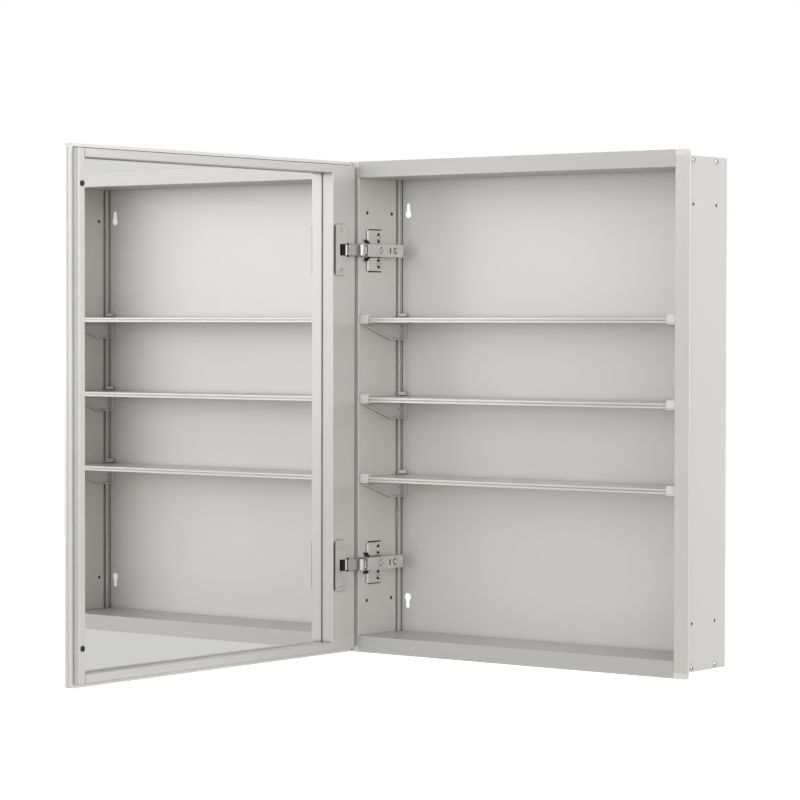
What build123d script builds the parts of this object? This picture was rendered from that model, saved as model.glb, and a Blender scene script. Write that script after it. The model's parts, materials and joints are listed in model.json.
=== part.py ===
from build123d import *
import os

# Wall-hung medicine cabinet with one mirrored door, shown open at a right angle.
# X runs to the right, Y into the wall, Z up, in millimetres.
# The origin is the centre of the back panel's rear face.

# Case
cabinet_width = 504.0
cabinet_height = 610.0
case_depth = 90.0
flange_width = 20.0
flange_thickness = 1.6
flange_edge_radius = 0.5
side_panel_thickness = 13.8
end_panel_thickness = 12.9
skin = 1.6
back_thickness = 1.2
back_lap = 4.6
seat_clearance = 0.2

# Track for the shelf brackets, as depths from the flange's front face
track_front = 75.6
track_rear = 81.3
track_undercut = 1.6
track_channel_depth = 3.4
track_block_wall = 1.4
score_depth_from_front = 85.3
score_width = 1.0
score_cut = 0.8
notch_top = -129.0
notch_bottom = -154.0

# Side holes, case screws and keyholes
side_hole_radius = 2.0
side_hole_depths = (17.0, 67.0)
side_hole_height = 242.0
port_outer_radius = 3.5
port_inset = 8.0
case_screw_radius = 1.7
screw_clearance = 0.1
case_screw_head_radius = 3.3
case_screw_head_height = 1.5
case_screw_length = 32.0
keyhole_from_side = 29.6
keyhole_height = 242.0
keyhole_head_radius = 4.7
keyhole_slot_width = 5.4
keyhole_length = 18.7
back_screw_radius = 1.1
back_screw_head_radius = 1.9
back_screw_length = 6.0
back_screws_per_side = 5
back_screws_per_end = 3
back_screw_span_z = 480.0
back_screw_span_x = 360.0
cap_plug_depth = 2.6
cap_bridge_height = 1.5
cap_bridge_length = 10.0
cap_corner_radius = 3.5

# Shelves
shelf_top_highest = 111.3
shelf_pitch = 99.1
shelf_thickness = 5.8
shelf_front = 4.0
shelf_rear = 84.0
shelf_skin = 1.2
shelf_cells = 4
shelf_groove_height = 1.4
shelf_groove_depth = 1.2

# Shelf brackets
bracket_plate = 1.8
bracket_clearance = 0.3
bracket_front = 2.6
bracket_cap_width = 12.7
bracket_cap_depth = 3.4
bracket_cap_rise = 4.1
bracket_cap_chamfer = 2.3
bracket_ledge = 1.6
bracket_slope_end = 62.7
bracket_drop = 28.1
bracket_rear = 85.5
bracket_lip_width = 2.5
bracket_lip_thickness = 1.5
bracket_tab_length = 6.0
bracket_tab_reach = 9.2
bracket_tab_gap = 1.6
bracket_tab_rise = 5.8
bracket_heel_width = 8.0
bracket_heel_thickness = 0.8
bracket_heel_gap = 0.3
bracket_eye_radius = 1.3
bracket_eye_depth = 79.8
bracket_eye_drop = 16.2
bracket_slot_depth = 84.0
bracket_slot_width = 1.0
tongue_drop = 4.1

# Door
door_overhang_side = 0.5
door_overhang_end = -0.4
door_gap = 2.5
door_lip = 5.0
door_frame_depth = 17.4
door_lip_start = 8.5
door_band_start = 10.8
door_band_end = 12.8
door_band_cut = 0.4
door_bullnose_radius = 6.0
door_trim_depth = 20.5
door_corner_radius = 4.5
stile_hinge_width = 44.0
stile_free_width = 10.4
rail_height = 10.0
frame_wall = 1.5
frame_edge_radius = 1.0
plug_length = 8.0
inner_glass = 2.0
front_glass = 3.0
glass_clearance = 0.2
bumper_radius = 3.2
bumper_rise = 1.2
bumper_from_edge = 5.6
bumper_height = 260.0

# Hinges: the door turns about an axis in front of the flange and inside its outer edge
hinge_axis_inset = 10.0
hinge_axis_ahead = 11.1
hinge_from_end = 110.0
plate_height = 52.6
plate_front = 15.6
plate_rear = 45.2
plate_thickness = 2.6
plate_rolled_radius = 1.6
plate_corner_radius = 4.0
plate_screw_depth = 37.0
plate_screw_offset = 16.0
plate_screw_head_radius = 3.2
plate_screw_head_height = 1.3
plate_screw_radius = 1.8
plate_screw_length = 9.0
arm_width = 15.7
arm_wall = 1.0
arm_top_plate = 1.2
arm_height = 15.0
arm_front = 0.2
arm_rear = 71.6
arm_rear_slope = 1.0
arm_foot_clearance = 0.3
arm_edge_radius = 0.9
tongue_tip = -9.4
tongue_width = 13.6
rail_front = 22.4
rail_rear = 64.0
rail_side_clearance = 0.3
front_arm_screw_depth = 27.5
front_arm_screw_head_radius = 3.5
rear_arm_screw_depth = 56.0
rear_arm_screw_head_radius = 3.1
arm_screw_head_height = 1.4
arm_screw_radius = 1.8
arm_screw_length = 8.0
cross_slot_width = 0.9
cross_slot_depth = 0.8
arm_slot_depth = 45.2
arm_slot_length = 6.0
arm_slot_width = 1.8
rivet_radius = 1.6
rivet_depth = 2.2
rivet_height = 9.5
rivet_proud = 0.5

# Cups in the door, measured from the inner frame's hinge edge and from its inner face
cup_plate_near = 19.4
cup_plate_far = 41.0
cup_plate_height = 62.4
cup_plate_thickness = 2.4
cup_plate_corner_radius = 3.0
cup_window_far = 32.6
cup_window_width = 14.4
cup_pocket_near = 13.0
cup_pocket_far = 35.5
cup_pocket_depth = 12.8
cup_wall = 1.2
cup_screw_offset = 24.0
cup_screw_from_edge = 30.0
cup_screw_radius = 1.7
cup_screw_head_radius = 3.3
cup_screw_head_height = 1.1
cup_screw_length = 9.0
link_pin_from_edge = 22.1
link_pin_depth = 2.9
link_pin_radius = 1.0
link_pin_clearance = 0.05
link_width = 13.2
link_thickness = 1.2
link_ear_radius = 2.0
link_ear_width = 1.4
link_web_start = 3.0
link_roll_radius = 0.9
link_end_height = 7.5
link_end_depth = -3.5

opening_half_x = cabinet_width / 2 - flange_width
opening_half_z = cabinet_height / 2 - flange_width
box_half_x = opening_half_x + side_panel_thickness
box_half_z = opening_half_z + end_panel_thickness
flange_y = -case_depth
port_height = opening_half_z + port_inset
hinge_height = cabinet_height / 2 - hinge_from_end
shelf_names = ("upper", "middle", "lower")

os.makedirs("parts", exist_ok=True)


def at_depth(depth):
    """Y of a depth measured into the wall from the flange's front face."""
    return flange_y + depth


def save(part, label):
    part.label = label
    export_step(part, f"parts/{label}.step")


def handed(part, side):
    """The right-hand piece as it is, or its mirror image for the left."""
    return part if side == "right" else mirror(part, about=Plane.YZ)


def rect(a_start, a_end, b_start, b_end, mode=Mode.ADD):
    """A rectangle in the current sketch, given by its two ranges."""
    with Locations(((a_start + a_end) / 2, (b_start + b_end) / 2)):
        Rectangle(a_end - a_start, b_end - b_start, mode=mode)


def spread(count, span):
    """Evenly spaced values over a span centred on zero."""
    return [span * (i / (count - 1) - 0.5) for i in range(count)]


def corner_points(depths, height):
    """Points in Y and Z at each depth, as far above mid-height as below it."""
    return [(at_depth(depth), z) for depth in depths for z in (-height, height)]


def pan_screws(face, points, head_radius, head_height, shank_radius, length):
    """Cross-head screws that seat on a plane, with their shanks behind it."""
    with BuildPart() as screws:
        with BuildSketch(face):
            with Locations(points):
                Circle(head_radius)
        extrude(amount=head_height)
        fillet(screws.faces().filter_by(face).group_by(Axis.X)[-1].edges(), head_height / 2)
        with BuildSketch(face):
            with Locations(points):
                Circle(shank_radius)
        extrude(amount=-length)
        with BuildSketch(face.offset(head_height)):
            with Locations(points):
                Rectangle(cross_slot_width, head_radius)
                Rectangle(head_radius, cross_slot_width)
        extrude(amount=-cross_slot_depth, mode=Mode.SUBTRACT)
    return screws.part


# Case panels

def side_panel(hinge_side):
    """Right-hand side panel, standing, with its flange, track and rear rabbet."""
    channel_front = at_depth(track_front - track_undercut)
    channel_rear = at_depth(track_rear + track_undercut)
    channel_x = opening_half_x + skin + track_channel_depth
    block_front = channel_front - track_block_wall
    block_x = channel_x + track_block_wall
    flange_rear = flange_y + flange_thickness
    flange_x = opening_half_x + flange_width
    with BuildPart() as panel:
        with BuildSketch(Plane.XY.offset(-box_half_z)):
            rect(opening_half_x, box_half_x, flange_y, 0)
            rect(opening_half_x, flange_x, flange_y, flange_rear)
            rect(opening_half_x + skin, box_half_x - skin, flange_rear, block_front, Mode.SUBTRACT)
            rect(block_x, box_half_x - skin, block_front, -skin, Mode.SUBTRACT)
            rect(opening_half_x, channel_x, at_depth(track_front), at_depth(track_rear), Mode.SUBTRACT)
            rect(opening_half_x + skin, channel_x, channel_front, channel_rear, Mode.SUBTRACT)
            score_y = at_depth(score_depth_from_front)
            rect(opening_half_x, opening_half_x + score_cut, score_y, score_y + score_width, Mode.SUBTRACT)
            rect(opening_half_x, opening_half_x + back_lap, -back_thickness, 0, Mode.SUBTRACT)
        extrude(amount=2 * box_half_z)
        fillet(panel.edges().filter_by(Axis.Z).group_by(Axis.Y)[0], flange_edge_radius)
        with BuildSketch(Plane.YZ.offset(opening_half_x)):
            with Locations(corner_points(side_hole_depths, side_hole_height)):
                Circle(side_hole_radius)
            with Locations(corner_points(side_hole_depths, port_height)):
                Circle(case_screw_radius + screw_clearance)
        extrude(amount=side_panel_thickness, mode=Mode.SUBTRACT)
        if hinge_side:
            with BuildSketch(Plane.YZ.offset(opening_half_x)):
                with Locations(((channel_front + channel_rear) / 2, (notch_top + notch_bottom) / 2)):
                    SlotOverall(notch_top - notch_bottom, channel_rear - channel_front, rotation=90)
                with Locations(plate_screw_points()):
                    Circle(plate_screw_radius + screw_clearance)
            extrude(amount=skin, mode=Mode.SUBTRACT)
        screw_x = opening_half_x + back_lap / 2
        with BuildSketch(Plane.XZ):
            with Locations([(screw_x, z) for z in spread(back_screws_per_side, back_screw_span_z)]):
                Circle(back_screw_radius + screw_clearance)
        extrude(amount=back_screw_length, mode=Mode.SUBTRACT)
    return panel.part


def end_panel():
    """Top panel, lying between the side panels, with its flange and two screw ports."""
    flange_rear = flange_y + flange_thickness
    inner_z = opening_half_z + skin
    outer_z = box_half_z - skin
    with BuildPart() as panel:
        with BuildSketch(Plane.YZ.offset(-opening_half_x)):
            rect(flange_y, 0, opening_half_z, box_half_z)
            rect(flange_y, flange_rear, opening_half_z, cabinet_height / 2)
            rect(flange_rear, -skin - back_thickness, inner_z, outer_z, Mode.SUBTRACT)
            for depth in side_hole_depths:
                rect(at_depth(depth) - skin / 2, at_depth(depth) + skin / 2, inner_z, outer_z)
            with Locations([(at_depth(d), port_height) for d in side_hole_depths]):
                Circle(port_outer_radius)
                Circle(case_screw_radius + screw_clearance, mode=Mode.SUBTRACT)
            rect(-back_thickness, 0, opening_half_z, opening_half_z + back_lap, Mode.SUBTRACT)
        extrude(amount=2 * opening_half_x)
        fillet(panel.edges().filter_by(Axis.X).group_by(Axis.Y)[0], flange_edge_radius)
        screw_z = opening_half_z + back_lap / 2
        with BuildSketch(Plane.XZ):
            with Locations([(x, screw_z) for x in spread(back_screws_per_end, back_screw_span_x)]):
                Circle(back_screw_radius + screw_clearance)
        extrude(amount=back_screw_length, mode=Mode.SUBTRACT)
    return panel.part


def back_screw_points():
    side_x = opening_half_x + back_lap / 2
    end_z = opening_half_z + back_lap / 2
    sides = [(x, z) for x in (-side_x, side_x) for z in spread(back_screws_per_side, back_screw_span_z)]
    ends = [(x, z) for z in (-end_z, end_z) for x in spread(back_screws_per_end, back_screw_span_x)]
    return sides + ends


def flush_screws(clearance, length):
    """The back panel's countersunk screws or, with a clearance, the room for them."""
    with BuildPart() as screws:
        with BuildSketch(Plane.XZ):
            with Locations(back_screw_points()):
                Circle(back_screw_head_radius + clearance)
        extrude(amount=back_screw_head_radius - back_screw_radius, taper=45)
        with BuildSketch(Plane.XZ):
            with Locations(back_screw_points()):
                Circle(back_screw_radius + clearance)
        extrude(amount=length)
    return screws.part


def back_panel():
    half_x = opening_half_x + back_lap - seat_clearance
    half_z = opening_half_z + back_lap - seat_clearance
    slot_run = keyhole_length - keyhole_head_radius - keyhole_slot_width / 2
    keyhole_x = cabinet_width / 2 - keyhole_from_side
    with BuildPart() as panel:
        with BuildSketch(Plane.XZ):
            Rectangle(2 * half_x, 2 * half_z)
            for x in (-keyhole_x, keyhole_x):
                for up in (-1, 1):
                    with Locations((x, up * keyhole_height)):
                        Circle(keyhole_head_radius, mode=Mode.SUBTRACT)
                    with Locations((x, up * (keyhole_height + slot_run / 2))):
                        SlotCenterToCenter(slot_run, keyhole_slot_width, rotation=90, mode=Mode.SUBTRACT)
        extrude(amount=back_thickness)
        add(flush_screws(screw_clearance, back_thickness), mode=Mode.SUBTRACT)
    return panel.part


def corner_cap():
    """Upper right cap: fills the flange corner and plugs the side panel's open end."""
    flange_x = opening_half_x + flange_width
    flange_rear = flange_y + flange_thickness
    plug_x0 = opening_half_x + skin + seat_clearance
    plug_x1 = box_half_x - skin - seat_clearance
    plug_front = flange_rear + seat_clearance
    plug_rear = at_depth(track_front - track_undercut) - track_block_wall - seat_clearance
    with BuildPart() as cap:
        with BuildSketch(Plane.XY.offset(box_half_z)):
            rect(opening_half_x, flange_x, flange_y, flange_rear)
        extrude(amount=cabinet_height / 2 - box_half_z)
        with BuildSketch(Plane.XY.offset(box_half_z)):
            rect(plug_x0, plug_x1, flange_rear, flange_rear + cap_bridge_length)
        extrude(amount=cap_bridge_height)
        with BuildSketch(Plane.XY.offset(box_half_z - cap_plug_depth)):
            rect(plug_x0, plug_x1, plug_front, plug_rear)
        extrude(amount=cap_plug_depth)
        corner = cap.edges().filter_by(Axis.Y).group_by(Axis.X)[-1].sort_by(Axis.Z)[-1]
        fillet(corner, cap_corner_radius)
    return cap.part


# Shelves

def shelf_panel(top):
    """Hollow shelf extrusion whose front corners are cut back behind the bracket caps."""
    bracket_x = opening_half_x - bracket_clearance
    half_x = bracket_x - bracket_plate - seat_clearance
    cap_x = bracket_x - bracket_cap_width - seat_clearance
    cap_rear = at_depth(bracket_front + bracket_cap_depth + seat_clearance)
    front = at_depth(shelf_front)
    rear = at_depth(shelf_rear)
    hollow_front = front + shelf_groove_depth + shelf_skin
    cell = (rear - shelf_skin - hollow_front + shelf_skin) / shelf_cells
    with BuildPart() as shelf:
        with BuildSketch(Plane.YZ.offset(-half_x)):
            rect(front, rear, top - shelf_thickness, top)
            for i in range(shelf_cells):
                start = hollow_front + i * cell
                rect(start, start + cell - shelf_skin, top - shelf_thickness + shelf_skin, top - shelf_skin,
                     Mode.SUBTRACT)
            middle = top - shelf_thickness / 2
            rect(front, front + shelf_groove_depth, middle - shelf_groove_height / 2,
                 middle + shelf_groove_height / 2, Mode.SUBTRACT)
        extrude(amount=2 * half_x)
        with BuildSketch(Plane.XY.offset(top)):
            rect(-half_x, -cap_x, front, cap_rear, Mode.ADD)
            rect(cap_x, half_x, front, cap_rear, Mode.ADD)
        extrude(amount=-shelf_thickness, mode=Mode.SUBTRACT)
    return shelf.part


def shelf_bracket(top):
    """Right-hand bracket: gusset, ledge, front cap, rear tab, heel and the tongue in the track."""
    outer_x = opening_half_x - bracket_clearance
    plate_x = outer_x - bracket_plate
    cap_x = outer_x - bracket_cap_width
    front = at_depth(bracket_front)
    rear = at_depth(bracket_rear)
    under = top - shelf_thickness
    foot = top - bracket_drop
    slope = at_depth(bracket_slope_end)
    cap_bottom = under - bracket_ledge
    heel_rear = -back_thickness - bracket_heel_gap
    tab_front = rear - bracket_tab_length
    gap = bracket_clearance
    with BuildPart() as bracket:
        with BuildSketch(Plane.YZ.offset(plate_x)):
            Polygon((front, top), (front, cap_bottom), (slope, foot), (rear, foot), (rear, top), align=None)
            rect(tab_front, rear, top, top + bracket_tab_rise)
            with Locations((at_depth(bracket_eye_depth), top - bracket_eye_drop)):
                Circle(bracket_eye_radius, mode=Mode.SUBTRACT)
            slot = at_depth(bracket_slot_depth)
            rect(slot - bracket_slot_width / 2, slot + bracket_slot_width / 2, foot + bracket_lip_thickness,
                 cap_bottom, mode=Mode.SUBTRACT)
        extrude(amount=bracket_plate)
        with BuildSketch(Plane.YZ.offset(plate_x - bracket_lip_width)):
            lip = bracket_lip_thickness
            Polygon((front, cap_bottom + lip), (front, cap_bottom), (slope, foot), (rear, foot),
                    (rear, foot + lip), (slope, foot + lip), align=None)
        extrude(amount=bracket_lip_width)
        with BuildSketch(Plane.XY.offset(cap_bottom)):
            rect(cap_x, outer_x, front, at_depth(shelf_rear))
        extrude(amount=bracket_ledge)
        with BuildSketch(Plane.YZ.offset(cap_x)):
            rect(front, front + bracket_cap_depth, cap_bottom, top + bracket_cap_rise)
            chamfer_cut = bracket_cap_chamfer
            Polygon((front, cap_bottom), (front + chamfer_cut / 2, cap_bottom),
                    (front, cap_bottom + chamfer_cut), align=None, mode=Mode.SUBTRACT)
        extrude(amount=bracket_cap_width)
        with BuildSketch(Plane.XY.offset(top + bracket_tab_gap)):
            rect(outer_x - bracket_tab_reach, outer_x, tab_front, rear)
        extrude(amount=bracket_tab_rise - bracket_tab_gap)
        with BuildSketch(Plane.XY.offset(foot)):
            rect(plate_x, outer_x, rear, heel_rear)
            rect(outer_x - bracket_heel_width, outer_x, heel_rear - bracket_heel_thickness, heel_rear)
        extrude(amount=bracket_drop + bracket_tab_rise)
        with BuildSketch(Plane.XY.offset(foot)):
            head_x = opening_half_x + skin + gap
            rect(outer_x, head_x, at_depth(track_front) + gap, at_depth(track_rear) - gap)
            rect(head_x, opening_half_x + skin + track_channel_depth - gap,
                 at_depth(track_front - track_undercut) + gap, at_depth(track_rear + track_undercut) - gap)
        extrude(amount=bracket_drop - tongue_drop)
    return bracket.part


# Door, drawn in its open place. On its plane, x runs away from the hinge side along the inner
# frame, y is up and the normal points out to the mirrored front.

hinge_axis_x = hinge_axis_inset - cabinet_width / 2
door_face_x = hinge_axis_x + hinge_axis_ahead - door_gap
frame_edge_depth = -hinge_axis_ahead + hinge_axis_inset + door_overhang_side - door_lip
frame_edge_y = at_depth(frame_edge_depth)
frame_width = cabinet_width + 2 * door_overhang_side - 2 * door_lip
frame_half_height = cabinet_height / 2 + door_overhang_end - door_lip
window_half_height = frame_half_height - rail_height
window_end = frame_width - stile_free_width
trim_cover = door_lip - door_bullnose_radius
door_plane = Plane(origin=(door_face_x, frame_edge_y, 0), x_dir=(0, -1, 0), z_dir=(-1, 0, 0))
along_door = Vector(0, -1, 0)
up = Vector(0, 0, 1)
outwards = Vector(-1, 0, 0)


def door_point(along, height):
    return Vector(door_face_x, frame_edge_y, 0) + along_door * along + up * height


def trim_bar(start, u_dir, length):
    """A straight length of outer trim. u_dir points outwards from the inner frame's edge."""
    section = Plane(origin=start, x_dir=u_dir, z_dir=u_dir.cross(outwards))
    lip = door_lip
    nose_start = door_trim_depth - door_bullnose_radius
    with BuildPart() as bar:
        with BuildSketch(section):
            with BuildLine():
                Polyline((trim_cover, door_trim_depth), (trim_cover, door_frame_depth), (0, door_frame_depth),
                         (0, door_lip_start), (lip, door_lip_start), (lip, door_band_start),
                         (lip - door_band_cut, door_band_start), (lip - door_band_cut, door_band_end),
                         (lip, door_band_end), (lip, nose_start))
                CenterArc((trim_cover, nose_start), door_bullnose_radius, 0, 90)
            make_face()
        extrude(amount=length)
    return bar.part


def door_outline():
    """The door's whole block with its rounded corners, which the trims are kept within."""
    half_height = frame_half_height + door_lip
    with BuildPart() as block:
        with BuildSketch(door_plane) as face:
            rect(-door_lip, frame_width + door_lip, -half_height, half_height)
            fillet(face.vertices(), door_corner_radius)
        extrude(amount=door_trim_depth)
    return block.part


def mitred(bar, cuts):
    """Cuts a trim bar back to the corner planes. Each cut is a corner point, a normal and the side kept."""
    with BuildPart() as piece:
        add(bar)
        for corner, normal, keep in cuts:
            split(bisect_by=Plane(origin=corner, z_dir=normal), keep=keep)
        add(door_outline(), mode=Mode.INTERSECT)
    return piece.part


def door_trims():
    lip = door_lip
    near_top = door_point(0, frame_half_height)
    far_top = door_point(frame_width, frame_half_height)
    near_bottom = door_point(0, -frame_half_height)
    far_bottom = door_point(frame_width, -frame_half_height)
    long_side = frame_width + 2 * lip
    tall_side = 2 * frame_half_height + 2 * lip
    falling = along_door + up
    rising = along_door - up
    top_bar = trim_bar(door_point(-lip, frame_half_height), up, long_side)
    bottom_bar = trim_bar(door_point(frame_width + lip, -frame_half_height), -up, long_side)
    hinge_bar = trim_bar(door_point(0, -frame_half_height - lip), -along_door, tall_side)
    free_bar = trim_bar(door_point(frame_width, frame_half_height + lip), along_door, tall_side)
    return {
        "door_trim_top": mitred(top_bar, [(near_top, falling, Keep.TOP), (far_top, rising, Keep.BOTTOM)]),
        "door_trim_bottom": mitred(bottom_bar, [(near_bottom, rising, Keep.TOP),
                                                (far_bottom, falling, Keep.BOTTOM)]),
        "door_trim_hinge": mitred(hinge_bar, [(near_top, falling, Keep.BOTTOM),
                                              (near_bottom, rising, Keep.BOTTOM)]),
        "door_trim_free": mitred(free_bar, [(far_top, rising, Keep.TOP), (far_bottom, falling, Keep.TOP)]),
    }


def frame_stile(start, end, cup_heights=()):
    """A hollow upright of the inner frame, with a hole in its inner face for each cup."""
    with BuildPart() as stile:
        with BuildSketch(door_plane):
            rect(start, end, -frame_half_height, frame_half_height)
        extrude(amount=door_frame_depth)
        inner_face = stile.faces().sort_by(Axis.X)[-1]
        fillet(inner_face.edges().filter_by(Axis.Z), frame_edge_radius)
        with BuildSketch(door_plane.offset(frame_wall)):
            rect(start + frame_wall, end - frame_wall, -frame_half_height, frame_half_height)
        extrude(amount=door_frame_depth - 2 * frame_wall, mode=Mode.SUBTRACT)
        if cup_heights:
            near = cup_pocket_near - cup_wall - seat_clearance
            far = cup_pocket_far + cup_wall + seat_clearance
            half = cup_window_width / 2 + cup_wall + seat_clearance
            with BuildSketch(door_plane):
                for height in cup_heights:
                    rect(near, far, height - half, height + half)
                    with Locations([(cup_screw_from_edge, height - cup_screw_offset),
                                    (cup_screw_from_edge, height + cup_screw_offset)]):
                        Circle(cup_screw_radius)
            extrude(amount=frame_wall, mode=Mode.SUBTRACT)
    return stile.part


def frame_rail():
    """The hollow top rail between the stiles."""
    with BuildPart() as rail:
        with BuildSketch(door_plane):
            rect(stile_hinge_width, window_end, window_half_height, frame_half_height)
        extrude(amount=door_frame_depth)
        inner_face = rail.faces().sort_by(Axis.X)[-1]
        fillet(inner_face.edges().filter_by(Axis.Y), frame_edge_radius)
        with BuildSketch(door_plane.offset(frame_wall)):
            rect(stile_hinge_width, window_end, window_half_height + frame_wall,
                 frame_half_height - frame_wall)
        extrude(amount=door_frame_depth - 2 * frame_wall, mode=Mode.SUBTRACT)
    return rail.part


def glass_sheet(start, end, half_height, depth, thickness):
    with BuildPart() as sheet:
        with BuildSketch(door_plane.offset(depth)):
            rect(start, end, -half_height, half_height)
        extrude(amount=thickness)
    return sheet.part


def end_plugs():
    """Plugs that close the four open ends of the stiles."""
    inset = frame_wall + seat_clearance
    with BuildPart() as plugs:
        with BuildSketch(door_plane.offset(inset)):
            for start, end in ((0, stile_hinge_width), (window_end, frame_width)):
                for z_start in (-frame_half_height, frame_half_height - plug_length):
                    rect(start + inset, end - inset, z_start, z_start + plug_length)
        extrude(amount=door_frame_depth - 2 * inset)
    return plugs.part


def bumpers():
    with BuildPart() as pads:
        with BuildSketch(door_plane):
            with Locations([(frame_width - bumper_from_edge, z) for z in (-bumper_height, bumper_height)]):
                Circle(bumper_radius)
        extrude(amount=-bumper_rise)
        fillet(pads.faces().group_by(Axis.X)[-1].edges(), bumper_rise / 2)
    return pads.part


# Hinges, on the left wall. Heights above the wall are measured along X.

wall_x = -opening_half_x
plate_face_x = wall_x + plate_thickness
arm_face_x = wall_x + arm_height
hinge_heights = (("upper", hinge_height), ("lower", -hinge_height))
link_pin_x = door_face_x - link_pin_depth
link_pin_y = frame_edge_y - link_pin_from_edge


def plate_screw_points():
    return [(at_depth(plate_screw_depth), height + z) for name, height in hinge_heights
            for z in (-plate_screw_offset, plate_screw_offset)]


def cup_screw_points(height):
    return [(frame_edge_y - cup_screw_from_edge, height + z) for z in (-cup_screw_offset, cup_screw_offset)]


def hinge_plate(height):
    """Mounting plate with the rail that the arm is screwed down on."""
    rail_half = arm_width / 2 - arm_wall - rail_side_clearance
    with BuildPart() as plate:
        with BuildSketch(Plane.YZ.offset(wall_x)) as wings:
            rect(at_depth(plate_front), at_depth(plate_rear), height - plate_height / 2,
                 height + plate_height / 2)
            fillet(wings.vertices(), plate_corner_radius)
        extrude(amount=plate_thickness)
        front_edge = plate.faces().sort_by(Axis.X)[-1].edges().filter_by(Axis.Z).sort_by(Axis.Y)[0]
        fillet(front_edge, plate_rolled_radius)
        with BuildSketch(Plane.YZ.offset(wall_x)):
            rect(at_depth(rail_front), at_depth(rail_rear), height - rail_half, height + rail_half)
        extrude(amount=arm_height - arm_top_plate)
        with BuildSketch(Plane.YZ.offset(wall_x)):
            with Locations([(y, z) for y, z in plate_screw_points() if abs(z - height) < plate_height]):
                Circle(plate_screw_radius + screw_clearance)
        extrude(amount=plate_thickness, mode=Mode.SUBTRACT)
        with BuildSketch(Plane.YZ.offset(arm_face_x)):
            with Locations([(at_depth(d), height) for d in (front_arm_screw_depth, rear_arm_screw_depth)]):
                Circle(arm_screw_radius + screw_clearance)
        extrude(amount=-arm_screw_length - screw_clearance, mode=Mode.SUBTRACT)
    return plate.part


def hinge_arm(height):
    """Pressed channel over the rail, with a tongue that covers the link at the nose."""
    inner_width = arm_width - 2 * arm_wall
    foot_x = wall_x + arm_foot_clearance
    seat_x = plate_face_x + arm_foot_clearance
    under_x = arm_face_x - arm_top_plate
    step_y = at_depth(plate_front - arm_foot_clearance)
    front_y = at_depth(arm_front)
    rear_y = at_depth(arm_rear)
    rivet_x = wall_x + rivet_height
    with BuildPart() as arm:
        with BuildSketch(Plane.XY.offset(height - arm_width / 2)):
            Polygon((foot_x, front_y), (foot_x, step_y), (seat_x, step_y), (seat_x, rear_y),
                    (arm_face_x - arm_rear_slope, rear_y), (arm_face_x, rear_y - arm_rear_slope),
                    (arm_face_x, front_y), align=None)
        extrude(amount=arm_width)
        arm_top = arm.faces().filter_by(Axis.X).sort_by(Axis.X)[-1]
        fillet(arm_top.edges().filter_by(Axis.Y), arm_edge_radius)
        with BuildSketch(Plane.XY.offset(height - inner_width / 2)):
            rect(wall_x, under_x, front_y, rear_y)
        extrude(amount=inner_width, mode=Mode.SUBTRACT)
        with BuildSketch(Plane.YZ.offset(under_x)):
            rect(at_depth(tongue_tip), front_y + arm_wall, height - tongue_width / 2,
                 height + tongue_width / 2)
        extrude(amount=arm_top_plate)
        tip = arm.faces().sort_by(Axis.Y)[0].edges().filter_by(Axis.Z).sort_by(Axis.X)[-1]
        fillet(tip, arm_edge_radius)
        with BuildSketch(Plane.YZ.offset(under_x)):
            with Locations([(at_depth(d), height) for d in (front_arm_screw_depth, rear_arm_screw_depth)]):
                Circle(arm_screw_radius + screw_clearance)
            with Locations((at_depth(arm_slot_depth), height)):
                SlotOverall(arm_slot_length, arm_slot_width, rotation=90)
        extrude(amount=arm_top_plate, mode=Mode.SUBTRACT)
        with BuildSketch(Plane.XY.offset(height - arm_width / 2)):
            with Locations((rivet_x, at_depth(rivet_depth))):
                Circle(rivet_radius + link_pin_clearance)
        extrude(amount=arm_width, mode=Mode.SUBTRACT)
    return arm.part


def hinge_rivets():
    """Short rivets in the cheeks of each arm's nose."""
    half = arm_width / 2
    with BuildPart() as rivets:
        for name, height in hinge_heights:
            for start in (height - half - rivet_proud, height + half - arm_wall):
                with BuildSketch(Plane.XY.offset(start)):
                    with Locations((wall_x + rivet_height, at_depth(rivet_depth))):
                        Circle(rivet_radius)
                extrude(amount=arm_wall + rivet_proud)
    return rivets.part


def hinge_cup(height):
    """Cup body in the stile, with the plate that carries it on the stile's inner face."""
    half = cup_window_width / 2
    outer = half + cup_wall
    plate_half = cup_plate_height / 2
    with BuildPart() as cup:
        with BuildSketch(door_plane.offset(-cup_plate_thickness)) as plate:
            rect(cup_plate_near, cup_plate_far, height - plate_half, height + plate_half)
            fillet(plate.vertices(), cup_plate_corner_radius)
        extrude(amount=cup_plate_thickness)
        chamfer(cup.faces().sort_by(Axis.X)[-1].edges(), cup_plate_thickness / 4)
        with BuildSketch(door_plane):
            rect(cup_pocket_near - cup_wall, cup_pocket_far + cup_wall, height - outer, height + outer)
        extrude(amount=cup_pocket_depth + cup_wall)
        with BuildSketch(door_plane):
            rect(cup_pocket_near, cup_pocket_far, height - half, height + half)
        extrude(amount=cup_pocket_depth, mode=Mode.SUBTRACT)
        with BuildSketch(door_plane.offset(-cup_plate_thickness)):
            rect(cup_plate_near, cup_window_far, height - half, height + half)
        extrude(amount=cup_plate_thickness, mode=Mode.SUBTRACT)
        with BuildSketch(Plane.YZ.offset(door_face_x)):
            with Locations(cup_screw_points(height)):
                Circle(cup_screw_radius + screw_clearance)
        extrude(amount=cup_plate_thickness, mode=Mode.SUBTRACT)
        with BuildSketch(Plane.XY.offset(height - outer)):
            with Locations((link_pin_x, link_pin_y)):
                Circle(link_pin_radius + link_pin_clearance)
        extrude(amount=2 * outer, mode=Mode.SUBTRACT)
    return cup.part


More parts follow.
